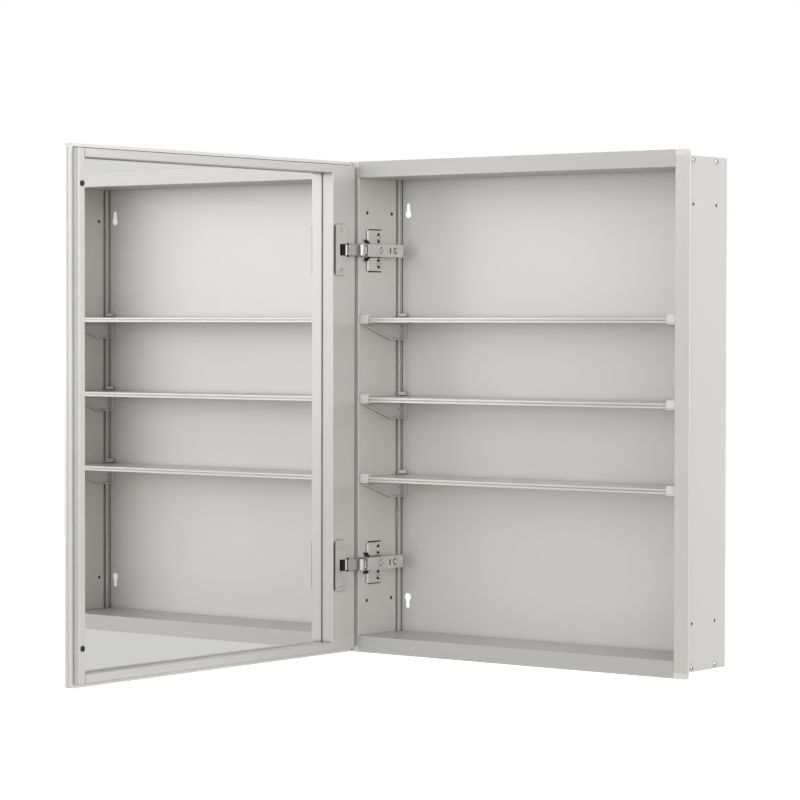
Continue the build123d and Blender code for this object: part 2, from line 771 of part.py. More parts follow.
def hinge_link(height):
    """Lever from the cup's pin into the arm's nose, forked round the pin."""
    pin = Vector(link_pin_x, link_pin_y, height - link_width / 2)
    end = Vector(wall_x + link_end_height, at_depth(link_end_depth), pin.Z)
    base = Plane(origin=pin, x_dir=end - pin, z_dir=(0, 0, 1))
    length = (end - pin).length
    half = link_thickness / 2
    with BuildPart() as link:
        with BuildSketch(base):
            rect(link_web_start, length - link_roll_radius, -half, half)
            with Locations((length - link_roll_radius, 0)):
                Circle(link_roll_radius)
        extrude(amount=link_width)
        for start in (0, link_width - link_ear_width):
            with BuildSketch(base.offset(start)):
                Circle(link_ear_radius)
                rect(0, link_web_start, -half, half)
            extrude(amount=link_ear_width)
        with BuildSketch(base):
            Circle(link_pin_radius + link_pin_clearance)
        extrude(amount=link_width, mode=Mode.SUBTRACT)
    return link.part


def cup_pins():
    half = cup_window_width / 2 + cup_wall
    with BuildPart() as pins:
        for name, height in hinge_heights:
            with BuildSketch(Plane.XY.offset(height - half)):
                with Locations((link_pin_x, link_pin_y)):
                    Circle(link_pin_radius)
            extrude(amount=2 * half)
    return pins.part


# Writing the pieces

save(handed(side_panel(hinge_side=False), "right"), "side_panel_right")
save(handed(side_panel(hinge_side=True), "left"), "side_panel_left")
save(end_panel(), "top_panel")
save(mirror(end_panel(), about=Plane.XY), "bottom_panel")
save(back_panel(), "back_panel")
save(flush_screws(0, back_screw_length), "back_panel_screws")
case_screw_points = corner_points(side_hole_depths, port_height)
for side in ("left", "right"):
    upper_cap = handed(corner_cap(), side)
    save(upper_cap, f"corner_cap_upper_{side}")
    save(mirror(upper_cap, about=Plane.XY), f"corner_cap_lower_{side}")
    screws = pan_screws(Plane.YZ.offset(box_half_x), case_screw_points, case_screw_head_radius,
                        case_screw_head_height, case_screw_radius, case_screw_length)
    save(handed(screws, side), f"case_screws_{side}")

for i, name in enumerate(shelf_names):
    top = shelf_top_highest - i * shelf_pitch
    save(shelf_panel(top), f"shelf_{name}")
    for side in ("left", "right"):
        save(handed(shelf_bracket(top), side), f"shelf_bracket_{name}_{side}")

for label, piece in door_trims().items():
    save(piece, label)
save(frame_stile(0, stile_hinge_width, (-hinge_height, hinge_height)), "door_stile_hinge")
save(frame_stile(window_end, frame_width), "door_stile_free")
save(frame_rail(), "door_rail_top")
save(mirror(frame_rail(), about=Plane.XY), "door_rail_bottom")
save(end_plugs(), "door_end_plugs")
glass_edge = glass_clearance - trim_cover
save(glass_sheet(glass_edge, frame_width - glass_edge, frame_half_height - glass_edge, door_frame_depth,
                 front_glass), "front_mirror")
save(glass_sheet(stile_hinge_width + glass_clearance, window_end - glass_clearance,
                 window_half_height - glass_clearance, door_frame_depth - inner_glass, inner_glass),
     "inner_mirror")
save(bumpers(), "door_bumpers")

for name, height in hinge_heights:
    save(hinge_plate(height), f"hinge_plate_{name}")
    save(hinge_arm(height), f"hinge_arm_{name}")
    save(hinge_cup(height), f"hinge_cup_{name}")
    save(hinge_link(height), f"hinge_link_{name}")
save(hinge_rivets(), "hinge_rivets")
save(cup_pins(), "hinge_cup_pins")
save(pan_screws(Plane.YZ.offset(plate_face_x), plate_screw_points(), plate_screw_head_radius,
                plate_screw_head_height, plate_screw_radius, plate_screw_length), "hinge_plate_screws")
save(pan_screws(Plane.YZ.offset(door_face_x + cup_plate_thickness),
                [point for name, height in hinge_heights for point in cup_screw_points(height)],
                cup_screw_head_radius, cup_screw_head_height, cup_screw_radius, cup_screw_length),
     "hinge_cup_screws")
arm_screws = {
    "hinge_arm_screws_front": (front_arm_screw_depth, front_arm_screw_head_radius),
    "hinge_arm_screws_rear": (rear_arm_screw_depth, rear_arm_screw_head_radius),
}
for label, (depth, head_radius) in arm_screws.items():
    points = [(at_depth(depth), height) for name, height in hinge_heights]
    save(pan_screws(Plane.YZ.offset(arm_face_x), points, head_radius, arm_screw_head_height,
                    arm_screw_radius, arm_screw_length), label)
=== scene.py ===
import json
import math
import bmesh
import bpy
from mathutils import Matrix, Vector


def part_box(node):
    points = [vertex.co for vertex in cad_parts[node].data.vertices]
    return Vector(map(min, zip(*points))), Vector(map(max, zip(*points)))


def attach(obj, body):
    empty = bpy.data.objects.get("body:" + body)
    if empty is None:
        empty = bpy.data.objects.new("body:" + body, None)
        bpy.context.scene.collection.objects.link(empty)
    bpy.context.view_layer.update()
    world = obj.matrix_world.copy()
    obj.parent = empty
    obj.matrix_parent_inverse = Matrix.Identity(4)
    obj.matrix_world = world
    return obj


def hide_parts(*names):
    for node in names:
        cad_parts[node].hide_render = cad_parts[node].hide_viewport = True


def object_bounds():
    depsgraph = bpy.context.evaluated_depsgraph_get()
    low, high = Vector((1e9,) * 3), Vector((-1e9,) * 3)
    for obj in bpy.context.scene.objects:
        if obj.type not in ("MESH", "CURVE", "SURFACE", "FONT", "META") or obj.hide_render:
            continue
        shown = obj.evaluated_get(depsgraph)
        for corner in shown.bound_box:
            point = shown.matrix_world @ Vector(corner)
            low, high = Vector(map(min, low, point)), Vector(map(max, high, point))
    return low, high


# Wall-hung medicine cabinet with its mirrored door open at a right angle.
# Metres, in the cabinet's own frame: X right, Y into the wall, Z up, origin on the wall.

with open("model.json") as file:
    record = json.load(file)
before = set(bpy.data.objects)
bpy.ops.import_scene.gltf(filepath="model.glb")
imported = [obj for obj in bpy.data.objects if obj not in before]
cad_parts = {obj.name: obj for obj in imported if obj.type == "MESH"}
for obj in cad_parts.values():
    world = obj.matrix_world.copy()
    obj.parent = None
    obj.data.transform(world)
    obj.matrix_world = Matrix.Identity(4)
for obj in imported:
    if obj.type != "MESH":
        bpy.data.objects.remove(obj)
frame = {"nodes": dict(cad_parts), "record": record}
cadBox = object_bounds()
nodes = frame["nodes"]
scene = bpy.context.scene
print("frame loaded:", len(nodes), "nodes")


# camera and view

cameraSetup = {
    "place": (2.1276, -3.0718, 0.1046),
    "turn": 37.5783,      # degrees to the left of straight at the wall
    "dip": 1.4392,        # degrees below the horizon
    "roll": 0.0956,
    "lens": 137.581,
    "sensor": 36.0,
    "reach": 50,
}


def addCamera(setup):
    data = bpy.data.cameras.new("camera")
    data.lens = setup["lens"]
    data.sensor_width = setup["sensor"]
    data.clip_end = setup["reach"]
    camera = bpy.data.objects.new("camera", data)
    camera.location = setup["place"]
    turned = Matrix.Rotation(math.radians(setup["turn"]), 3, "Z")
    tipped = Matrix.Rotation(math.radians(90 - setup["dip"]), 3, "X")
    rolled = Matrix.Rotation(math.radians(setup["roll"]), 3, "Z")
    camera.rotation_euler = (turned @ tipped @ rolled).to_euler()
    scene.collection.objects.link(camera)
    scene.camera = camera


addCamera(cameraSetup)
scene.view_settings.view_transform = "Standard"
print("camera placed")


# materials

# linear colour from 0-255 values as the eye reads them
def srgb(r, g, b):
    def linear(c):
        c = c / 255
        return c / 12.92 if c <= 0.04045 else ((c + 0.055) / 1.055) ** 2.4
    return (linear(r), linear(g), linear(b), 1)


def newMaterial(name):
    material = bpy.data.materials.new(name)
    material.use_nodes = True
    tree = material.node_tree
    tree.nodes.clear()
    out = tree.nodes.new("ShaderNodeOutputMaterial")
    shader = tree.nodes.new("ShaderNodeBsdfPrincipled")
    tree.links.new(shader.outputs["BSDF"], out.inputs["Surface"])
    return material, tree, shader


# noise over the piece's own coordinates, with a feature size in metres
def objectPattern(tree, size, detail=3.0, stretch=(1, 1, 1)):
    coords = tree.nodes.new("ShaderNodeTexCoord")
    mapping = tree.nodes.new("ShaderNodeMapping")
    mapping.inputs["Scale"].default_value = stretch
    noise = tree.nodes.new("ShaderNodeTexNoise")
    noise.inputs["Scale"].default_value = 1 / size
    noise.inputs["Detail"].default_value = detail
    tree.links.new(coords.outputs["Object"], mapping.inputs["Vector"])
    tree.links.new(mapping.outputs["Vector"], noise.inputs["Vector"])
    return noise.outputs["Fac"]


# noise, which keeps within noiseRange for the most part, spread from low to high
def spreadTo(tree, source, low, high):
    node = tree.nodes.new("ShaderNodeMapRange")
    node.inputs["From Min"].default_value, node.inputs["From Max"].default_value = noiseRange
    node.inputs["To Min"].default_value = low
    node.inputs["To Max"].default_value = high
    tree.links.new(source, node.inputs["Value"])
    return node.outputs["Result"]


def shadeBetween(tree, source, first, second):
    mix = tree.nodes.new("ShaderNodeMix")
    mix.data_type = "RGBA"
    mix.inputs["A"].default_value = first
    mix.inputs["B"].default_value = second
    tree.links.new(spreadTo(tree, source, 0, 1), mix.inputs["Factor"])
    return mix.outputs["Result"]


def softEdges(tree, radius):
    bevel = tree.nodes.new("ShaderNodeBevel")
    bevel.samples = edgeSamples
    bevel.inputs["Radius"].default_value = radius
    return bevel.outputs["Normal"]


# painted shade: the base colour darkened towards a dark colour in grooves and inner corners, by ambient
# occlusion over a reach of a few millimetres
def paintCornerShade(tree, colour, look):
    corner = tree.nodes.new("ShaderNodeAmbientOcclusion")
    corner.samples = cornerSamples
    corner.inputs["Distance"].default_value = look["cornerReach"]
    share = tree.nodes.new("ShaderNodeMapRange")
    share.inputs["From Min"].default_value, share.inputs["From Max"].default_value = cornerRange
    share.inputs["To Min"].default_value = 0
    share.inputs["To Max"].default_value = look["cornerShade"]
    tree.links.new(corner.outputs["AO"], share.inputs["Value"])
    mix = tree.nodes.new("ShaderNodeMix")
    mix.data_type = "RGBA"
    mix.inputs["B"].default_value = cornerShadeColour
    tree.links.new(share.outputs["Result"], mix.inputs["Factor"])
    tree.links.new(colour, mix.inputs["A"])
    return mix.outputs["Result"]


# colour drift, painted shade in corners, uneven sheen, fine relief and softened edges, all from one
# dictionary
def finishSurface(tree, shader, look):
    drift = objectPattern(tree, look["driftSize"])
    colour = shadeBetween(tree, drift, look["colour"], look["colourTwo"])
    if "cornerReach" in look:
        colour = paintCornerShade(tree, colour, look)
    tree.links.new(colour, shader.inputs["Base Color"])
    grain = objectPattern(tree, look["grainSize"], 2.0, look.get("grainStretch", (1, 1, 1)))
    tree.links.new(spreadTo(tree, grain, *look["roughness"]), shader.inputs["Roughness"])
    bump = tree.nodes.new("ShaderNodeBump")
    bump.inputs["Strength"].default_value = look["relief"]
    bump.inputs["Distance"].default_value = look["reliefDepth"]
    tree.links.new(grain, bump.inputs["Height"])
    if look.get("edge"):
        tree.links.new(softEdges(tree, look["edge"]), bump.inputs["Normal"])
    tree.links.new(bump.outputs["Normal"], shader.inputs["Normal"])
    shader.inputs["Metallic"].default_value = look["metallic"]
    shader.inputs["IOR"].default_value = look.get("ior", 1.5)
    if "coat" in look:
        shader.inputs["Coat Weight"].default_value = look["coat"]
        shader.inputs["Coat Roughness"].default_value = look["coatRoughness"]


noiseRange = (0.3, 0.7)
# painted shade: the colour that grooves and inner corners are darkened towards
cornerShadeColour = srgb(72, 66, 60)
cornerRange = (0.85, 0.15)      # openness at which the shade starts, and at which it is full
cornerSamples = 6
edgeSamples = 4

looks = {
    "caseAluminium": {
        "colour": srgb(212, 210, 208), "colourTwo": srgb(207, 205, 202), "driftSize": 0.35,
        "grainSize": 0.0007, "grainStretch": (1, 1, 0.15), "roughness": (0.38, 0.45),
        "relief": 0.10, "reliefDepth": 0.0001, "metallic": 0.45, "edge": 0.0004,
        "cornerReach": 0.003, "cornerShade": 0.60,
    },
    # painted shade: a darker copy of the case's aluminium for the top and bottom panels, with its grain
    # turned
    "shadedEndAluminium": {
        "colour": srgb(194, 193, 191), "colourTwo": srgb(189, 188, 186), "driftSize": 0.35,
        "grainSize": 0.0007, "grainStretch": (0.15, 1, 1), "roughness": (0.38, 0.45),
        "relief": 0.10, "reliefDepth": 0.0001, "metallic": 0.40, "edge": 0.0004,
        "cornerReach": 0.005, "cornerShade": 0.60,
    },
    "whiteBack": {
        "colour": srgb(220, 219, 218), "colourTwo": srgb(215, 214, 212), "driftSize": 0.30,
        "grainSize": 0.0009, "roughness": (0.40, 0.47),
        "relief": 0.12, "reliefDepth": 0.0001, "metallic": 0.38, "edge": 0.0004,
        "cornerReach": 0.010, "cornerShade": 0.34,
    },
    "trimAluminium": {
        "colour": srgb(228, 228, 227), "colourTwo": srgb(221, 221, 220), "driftSize": 0.25,
        "grainSize": 0.0005, "grainStretch": (1, 1, 0.08), "roughness": (0.34, 0.42),
        "relief": 0.04, "reliefDepth": 0.00006, "metallic": 0.45, "edge": 0.0004,
        "cornerReach": 0.004, "cornerShade": 0.70,
    },
    "frameAluminium": {
        "colour": srgb(208, 206, 204), "colourTwo": srgb(203, 201, 199), "driftSize": 0.30,
        "grainSize": 0.0007, "grainStretch": (1, 0.15, 0.15), "roughness": (0.36, 0.44),
        "relief": 0.10, "reliefDepth": 0.0001, "metallic": 0.45, "edge": 0.0004,
        "cornerReach": 0.005, "cornerShade": 0.92,
    },
    "shelfAluminium": {
        "colour": srgb(221, 219, 217), "colourTwo": srgb(215, 213, 211), "driftSize": 0.25,
        "grainSize": 0.0006, "grainStretch": (0.06, 1, 1), "roughness": (0.32, 0.40),
        "relief": 0.10, "reliefDepth": 0.00008, "metallic": 0.55, "edge": 0.0003,
        "cornerReach": 0.006, "cornerShade": 0.60,
    },
    "palePlastic": {
        "colour": srgb(214, 213, 212), "colourTwo": srgb(208, 207, 205), "driftSize": 0.05,
        "grainSize": 0.0005, "roughness": (0.42, 0.52),
        "relief": 0.20, "reliefDepth": 0.0001, "metallic": 0.0, "edge": 0.0004,
        "cornerReach": 0.006, "cornerShade": 0.70,
    },
    "nickelSteel": {
        "colour": srgb(216, 213, 210), "colourTwo": srgb(204, 201, 197), "driftSize": 0.02,
        "grainSize": 0.0004, "grainStretch": (1, 0.2, 1), "roughness": (0.30, 0.42),
        "relief": 0.08, "reliefDepth": 0.00005, "metallic": 0.85, "edge": 0.0003,
        "cornerReach": 0.003, "cornerShade": 0.85,
    },
    # painted highlight: a lighter copy of the nickel for the edges and bends that catch the light
    "nickelPaintedHighlight": {
        "colour": srgb(228, 226, 224), "colourTwo": srgb(218, 216, 213), "driftSize": 0.01,
        "grainSize": 0.0004, "roughness": (0.30, 0.40),
        "relief": 0.06, "reliefDepth": 0.00005, "metallic": 0.6, "edge": 0.0002,
    },
    "linkSteel": {
        "colour": srgb(168, 163, 156), "colourTwo": srgb(168, 163, 157), "driftSize": 0.004,
        "grainSize": 0.0004, "grainStretch": (1, 1, 0.1), "roughness": (0.42, 0.55),
        "relief": 0.12, "reliefDepth": 0.00006, "metallic": 0.7, "edge": 0.0002,
        "cornerReach": 0.002, "cornerShade": 0.8,
    },
    # painted shade: a dark finish for the far edge of the hinge cups and for the joint lines of the case
    "sheetRim": {
        "colour": srgb(92, 87, 81), "colourTwo": srgb(78, 74, 69), "driftSize": 0.004,
        "grainSize": 0.0003, "roughness": (0.45, 0.6),
        "relief": 0.1, "reliefDepth": 0.00005, "metallic": 0.5,
    },
    # painted shade, in part: dark for the mirror's seal and for the painted shadow line above the top rail
    "sealAndShadowStrip": {
        "colour": srgb(70, 66, 62), "colourTwo": srgb(58, 55, 52), "driftSize": 0.01,
        "grainSize": 0.0004, "roughness": (0.6, 0.75),
        "relief": 0.2, "reliefDepth": 0.00006, "metallic": 0.0,
    },
    # painted shade: black for sheets, linings and discs put in hollows, slots and gaps where there is only
    # shade
    "paintedShadeBlack": {
        "colour": srgb(8, 8, 7), "colourTwo": srgb(14, 13, 12), "driftSize": 0.004,
        "grainSize": 0.0004, "roughness": (0.55, 0.7),
        "relief": 0.15, "reliefDepth": 0.00008, "metallic": 0.0,
    },
    "zincScrews": {
        "colour": srgb(228, 227, 225), "colourTwo": srgb(212, 211, 209), "driftSize": 0.006,
        "grainSize": 0.0003, "roughness": (0.22, 0.34),
        "relief": 0.10, "reliefDepth": 0.00005, "metallic": 0.9,
        "cornerReach": 0.0015, "cornerShade": 0.95,
    },
    "blackRubber": {
        "colour": srgb(14, 14, 14), "colourTwo": srgb(30, 30, 31), "driftSize": 0.004,
        "grainSize": 0.0003, "roughness": (0.55, 0.7),
        "relief": 0.3, "reliefDepth": 0.00008, "metallic": 0.0,
    },
    "mirrorGlass": {
        "colour": srgb(248, 248, 247), "colourTwo": srgb(246, 246, 245), "driftSize": 0.4,
        "grainSize": 0.12, "roughness": (0.0, 0.012),
        "relief": 0.0, "reliefDepth": 0.00001, "metallic": 1.0,
    },
}

slotLooks = {
    "case_aluminium": "caseAluminium", "white_back": "whiteBack", "trim_aluminium": "trimAluminium",
    "frame_aluminium": "frameAluminium", "shelf_aluminium": "shelfAluminium", "pale_plastic": "palePlastic",
    "nickel_steel": "nickelSteel", "zinc_screws": "zincScrews", "black_rubber": "blackRubber",
    "mirror_glass": "mirrorGlass",
}

finishes = {}
for lookName, look in looks.items():
    finishes[lookName], lookTree, lookShader = newMaterial(lookName)
    finishSurface(lookTree, lookShader, look)

slotOf = {part["node"]: part["material_slot"] for part in frame["record"]["subparts"]}


def dress(nodeName, material):
    piece = nodes[nodeName]
    piece.data.materials.clear()
    piece.data.materials.append(material)


for nodeName, slotName in slotOf.items():
    dress(nodeName, finishes[slotLooks[slotName]])
# painted shade: the top and bottom panels take the darker copy of the case's aluminium
for nodeName in ("top_panel", "bottom_panel"):
    dress(nodeName, finishes["shadedEndAluminium"])
print("finishes given to", len(slotOf), "nodes")


# a mesh form made into a piece of the scene, with its finishes in order
def addPiece(form, name, paints):
    mesh = bpy.data.meshes.new(name)
    form.to_mesh(mesh)
    form.free()
    for paint in paints:
        mesh.materials.append(finishes[paint])
    piece = bpy.data.objects.new(name, mesh)
    scene.collection.objects.link(piece)
    return piece


# geometry nodes: a group with its inputs, and the end that lays one item on every point

def startTree(name, points, sizes, result):
    tree = bpy.data.node_groups.new(name, "GeometryNodeTree")
    face = tree.interface
    face.new_socket(points, in_out="INPUT", socket_type="NodeSocketGeometry")
    for label in sizes:
        face.new_socket(label, in_out="INPUT", socket_type="NodeSocketFloat")
    face.new_socket("Seed", in_out="INPUT", socket_type="NodeSocketInt")
    face.new_socket(result, in_out="OUTPUT", socket_type="NodeSocketGeometry")
    return tree, tree.nodes.new("NodeGroupInput").outputs


# each item is turned about its own axis by a random share of a turn, from the seed
def layItems(tree, points, item, seed, material):
    add = tree.nodes.new
    link = tree.links.new
    turn = add("FunctionNodeRandomValue")
    least, most = turn.inputs[2], turn.inputs[3]
    least.default_value = 0
    most.default_value = math.tau
    link(seed, turn.inputs["Seed"])
    angles = add("ShaderNodeCombineXYZ")
    link(turn.outputs[1], angles.inputs["X"])
    lay = add("GeometryNodeInstanceOnPoints")
    link(points, lay.inputs["Points"])
    link(item, lay.inputs["Instance"])
    link(angles.outputs["Vector"], lay.inputs["Rotation"])
    real = add("GeometryNodeRealizeInstances")
    link(lay.outputs["Instances"], real.inputs["Geometry"])
    paint = add("GeometryNodeSetMaterial")
    paint.inputs["Material"].default_value = material
    link(real.outputs["Geometry"], paint.inputs["Geometry"])
    link(paint.outputs["Geometry"], add("NodeGroupOutput").inputs[0])


def seatPoints(name, points):
    mesh = bpy.data.meshes.new(name)
    mesh.from_pydata([tuple(p) for p in points], [], [])
    piece = bpy.data.objects.new(name, mesh)
    scene.collection.objects.link(piece)
    return piece


# screws, laid on their seats by geometry nodes

screwShape = {
    "headSides": 40, "shankSides": 20,
    "dome": ((0.35, 0.97), (0.35, 0.92), (0.3, 0.84), (0.2, 0.70)),    # rises by the rim's height, shrinks
    "crossWidth": 0.0009, "crossDepth": 0.0009,
    "firstSeed": 3,
}
domeRise = sum(rise for rise, shrink in screwShape["dome"])
rimShare = 1 / (1 + domeRise)


# pan-head cross screws on every vertex: a cylinder whose top is drawn up ring by ring into a dome
def screwTree(material, shape):
    sizes = ("Head radius", "Rim height", "Shank radius", "Shank length", "Cross width", "Cross depth",
             "Axis turn")
    tree, given = startTree("crossScrews", "Seats", sizes, "Screws")
    add = tree.nodes.new
    link = tree.links.new

    def calc(kind, a, b):
        node = add("ShaderNodeMath")
        node.operation = kind
        for socket, value in zip(node.inputs, (a, b)):
            if isinstance(value, (int, float)):
                socket.default_value = value
            else:
                link(value, socket)
        return node.outputs[0]

    def vector(x=0.0, y=0.0, z=0.0):
        node = add("ShaderNodeCombineXYZ")
        for socket, value in zip(node.inputs, (x, y, z)):
            if isinstance(value, (int, float)):
                socket.default_value = value
            else:
                link(value, socket)
        return node.outputs[0]

    def shifted(geometry, offset, rotation=None):
        node = add("GeometryNodeTransform")
        link(geometry, node.inputs["Geometry"])
        link(offset, node.inputs["Translation"])
        if rotation is not None:
            link(rotation, node.inputs["Rotation"])
        return node.outputs["Geometry"]

    head = add("GeometryNodeMeshCylinder")
    head.inputs["Vertices"].default_value = shape["headSides"]
    link(given["Head radius"], head.inputs["Radius"])
    link(given["Rim height"], head.inputs["Depth"])
    pan = shifted(head.outputs["Mesh"], vector(z=calc("MULTIPLY", given["Rim height"], 0.5)))
    top = head.outputs["Top"]
    for rise, shrink in shape["dome"]:
        extrude = add("GeometryNodeExtrudeMesh")
        link(pan, extrude.inputs["Mesh"])
        link(top, extrude.inputs["Selection"])
        link(vector(z=calc("MULTIPLY", given["Rim height"], rise)), extrude.inputs["Offset"])
        extrude.inputs["Offset Scale"].default_value = 1
        scale = add("GeometryNodeScaleElements")
        link(extrude.outputs["Mesh"], scale.inputs["Geometry"])
        link(extrude.outputs["Top"], scale.inputs["Selection"])
        scale.inputs["Scale"].default_value = shrink
        pan, top = scale.outputs["Geometry"], extrude.outputs["Top"]
    total = calc("MULTIPLY", given["Rim height"], 1 + domeRise)
    cross = []
    for width, length in ((given["Cross width"], given["Head radius"]),
                          (given["Head radius"], given["Cross width"])):
        bar = add("GeometryNodeMeshCube")
        link(vector(width, length, calc("MULTIPLY", given["Cross depth"], 2)), bar.inputs["Size"])
        cross.append(shifted(bar.outputs["Mesh"], vector(z=total)))
    cut = add("GeometryNodeMeshBoolean")
    cut.operation = "DIFFERENCE"
    link(pan, cut.inputs["Mesh 1"])
    for bar in cross:
        link(bar, cut.inputs["Mesh 2"])
    shank = add("GeometryNodeMeshCylinder")
    shank.inputs["Vertices"].default_value = shape["shankSides"]
    link(given["Shank radius"], shank.inputs["Radius"])
    link(given["Shank length"], shank.inputs["Depth"])
    both = add("GeometryNodeJoinGeometry")
    link(cut.outputs["Mesh"], both.inputs["Geometry"])
    link(shifted(shank.outputs["Mesh"], vector(z=calc("MULTIPLY", given["Shank length"], -0.5))),
         both.inputs["Geometry"])
    screw = shifted(both.outputs["Geometry"], vector(), vector(y=given["Axis turn"]))
    layItems(tree, given["Seats"], screw, given["Seed"], material)
    return tree


# runs the tree on a piece with the values by name, and keeps the result as a plain mesh
def bakeNodes(piece, tree, values):
    modifier = piece.modifiers.new(tree.name, "NODES")
    modifier.node_group = tree
    for item in tree.interface.items_tree:
        if item.item_type == "SOCKET" and item.in_out == "INPUT" and item.name in values:
            modifier[item.identifier] = values[item.name]
    bpy.context.view_layer.update()
    evaluated = piece.evaluated_get(bpy.context.evaluated_depsgraph_get())
    mesh = bpy.data.meshes.new_from_object(evaluated)
    piece.modifiers.remove(modifier)
    piece.data = mesh
    return piece


# middles of the separate screws of a node, found from its loose parts
def groupCentres(nodeName):
    mesh = nodes[nodeName].data
    parent = list(range(len(mesh.vertices)))

    def rootOf(i):
        while parent[i] != i:
            parent[i] = parent[parent[i]]
            i = parent[i]
        return i

    places = {}
    for v in mesh.vertices:
        parent[v.index] = places.setdefault(tuple(round(c, 6) for c in v.co), v.index)
    for edge in mesh.edges:
        a, b = (rootOf(i) for i in edge.vertices)
        parent[a] = b
    groups = {}
    for v in mesh.vertices:
        groups.setdefault(rootOf(v.index), []).append(v.co)
    centres = []
    for points in groups.values():
        lows = [min(p[k] for p in points) for k in range(3)]
        highs = [max(p[k] for p in points) for k in range(3)]
        centres.append(tuple((a + b) / 2 for a, b in zip(lows, highs)))
    return centres


# head and shank in metres, the way that the head looks along X, and the body
screwSets = {
    "hinge_plate_screws": {
        "head": 0.0032, "height": 0.0013, "shank": 0.0018, "length": 0.0090, "facing": 1, "body": "case",
    },
    "hinge_arm_screws_front": {
        "head": 0.0035, "height": 0.0014, "shank": 0.0018, "length": 0.0080, "facing": 1, "body": "case",
    },
    "hinge_arm_screws_rear": {
        "head": 0.0031, "height": 0.0014, "shank": 0.0018, "length": 0.0080, "facing": 1, "body": "case",
    },
    "hinge_cup_screws": {
        "head": 0.0033, "height": 0.0011, "shank": 0.0017, "length": 0.0090, "facing": 1, "body": "door",
    },
    "case_screws_left": {
        "head": 0.0033, "height": 0.0015, "shank": 0.0017, "length": 0.0320, "facing": -1, "body": "case",
    },
    "case_screws_right": {
        "head": 0.0033, "height": 0.0015, "shank": 0.0017, "length": 0.0320, "facing": 1, "body": "case",
    },
}


def makeScrews(shape):
    tree = screwTree(finishes["zincScrews"], shape)
    for count, (nodeName, kind) in enumerate(screwSets.items()):
        low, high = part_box(nodeName)
        seatX = high.x - kind["height"] if kind["facing"] > 0 else low.x + kind["height"]
        seats = [(seatX, y, z) for x, y, z in groupCentres(nodeName)]
        piece = bakeNodes(seatPoints("screws_" + nodeName, seats), tree, {
            "Head radius": kind["head"], "Rim height": kind["height"] * rimShare,
            "Shank radius": kind["shank"], "Shank length": kind["length"],
            "Cross width": shape["crossWidth"], "Cross depth": shape["crossDepth"],
            "Axis turn": math.radians(90 * kind["facing"]), "Seed": count + shape["firstSeed"],
        })
        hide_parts(nodeName)
        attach(piece, kind["body"])
    print("screws laid on", len(screwSets), "nodes")


makeScrews(screwShape)


# hinges: sheet parts, in millimetres as height above the wall, depth behind the flange and level

# closed outline with its corners rounded by one radius, or by one for each corner
def rounded(corners, radii, steps=4):
    if isinstance(radii, (int, float)):
        radii = [radii] * len(corners)
    outline = []
    for i, radius in enumerate(radii):
        here = Vector(corners[i])
        before = (Vector(corners[i - 1]) - here).normalized()
        after = (Vector(corners[(i + 1) % len(corners)]) - here).normalized()
        if radius == 0:
            outline.append(tuple(here))
            continue
        half = before.angle(after) / 2
        centre = here + (before + after).normalized() * radius / math.sin(half)
        start = here + before * radius / math.tan(half) - centre
        sweep = start.angle_signed(here + after * radius / math.tan(half) - centre)
        for k in range(steps + 1):
            turn = -sweep * k / steps
            outline.append((centre.x + start.x * math.cos(turn) - start.y * math.sin(turn),
                            centre.y + start.x * math.sin(turn) + start.y * math.cos(turn)))
    return outline


def block(a0, a1, b0, b1, radius=0.0):
    return rounded([(a0, b0), (a1, b0), (a1, b1), (a0, b1)], radius)


def disc(a, b, radius, steps=28):
    return [(a + radius * math.cos(math.tau * k / steps), b + radius * math.sin(math.tau * k / steps))
            for k in range(steps)]


# a slot with round ends, whose radius stays a hair below half the width
def upright(a, b, width, length):
    return block(a - width / 2, a + width / 2, b - length / 2, b + length / 2, width / 2 - hair)


# inner face of each side from the middle, and the case's depth, in metres
wallX = 0.232
caseDepth = 0.090

hair = 0.001
sharpAngle = 1.2      # radians between faces, above which an edge is rounded

# which of height, depth and level an outline runs along, and which it is drawn out along
planes = {
    "wall": lambda a, b, c: (c, a, b),
    "side": lambda a, b, c: (a, b, c),
}


# draws an outline with its holes out to a solid with rounded rims, and adds it to the form
def addSheet(form, plane, outlines, low, high, rim=0.25, paint=0):
    part = bmesh.new()
    seat = planes[plane]
    for outline in outlines:
        corners = [part.verts.new(seat(a, b, low)) for a, b in outline]
        for i, corner in enumerate(corners):
            part.edges.new((corners[i - 1], corner))
    bmesh.ops.triangle_fill(part, use_beauty=True, edges=part.edges[:])
    face = bmesh.ops.extrude_face_region(part, geom=part.faces[:])
    step = Vector(seat(0, 0, high - low))
    bmesh.ops.translate(part, vec=step, verts=[v for v in face["geom"] if isinstance(v, bmesh.types.BMVert)])
    bmesh.ops.recalc_face_normals(part, faces=part.faces[:])
    if rim:
        sharp = [edge for edge in part.edges if edge.is_manifold and edge.calc_face_angle() > sharpAngle]
        bmesh.ops.bevel(part, geom=sharp, offset=rim, segments=2, profile=0.5, affect="EDGES",
                        clamp_overlap=True)
    for one in part.faces:
        one.material_index = paint
    mesh = bpy.data.meshes.new("part")
    part.to_mesh(mesh)
    part.free()
    form.from_mesh(mesh)
    bpy.data.meshes.remove(mesh)


# sets a form of hinge parts in the cabinet's frame, in place of its node, with its paints and its body
def seatForm(form, name, paints, level, nodeName, body):
    for v in form.verts:
        h, d, z = v.co
        v.co = (h / 1000 - wallX, d / 1000 - caseDepth, (z + level) / 1000)
    piece = addPiece(form, name, paints)
    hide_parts(nodeName)
    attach(piece, body)


hingeLevels = {"upper": 195.0, "lower": -195.0}

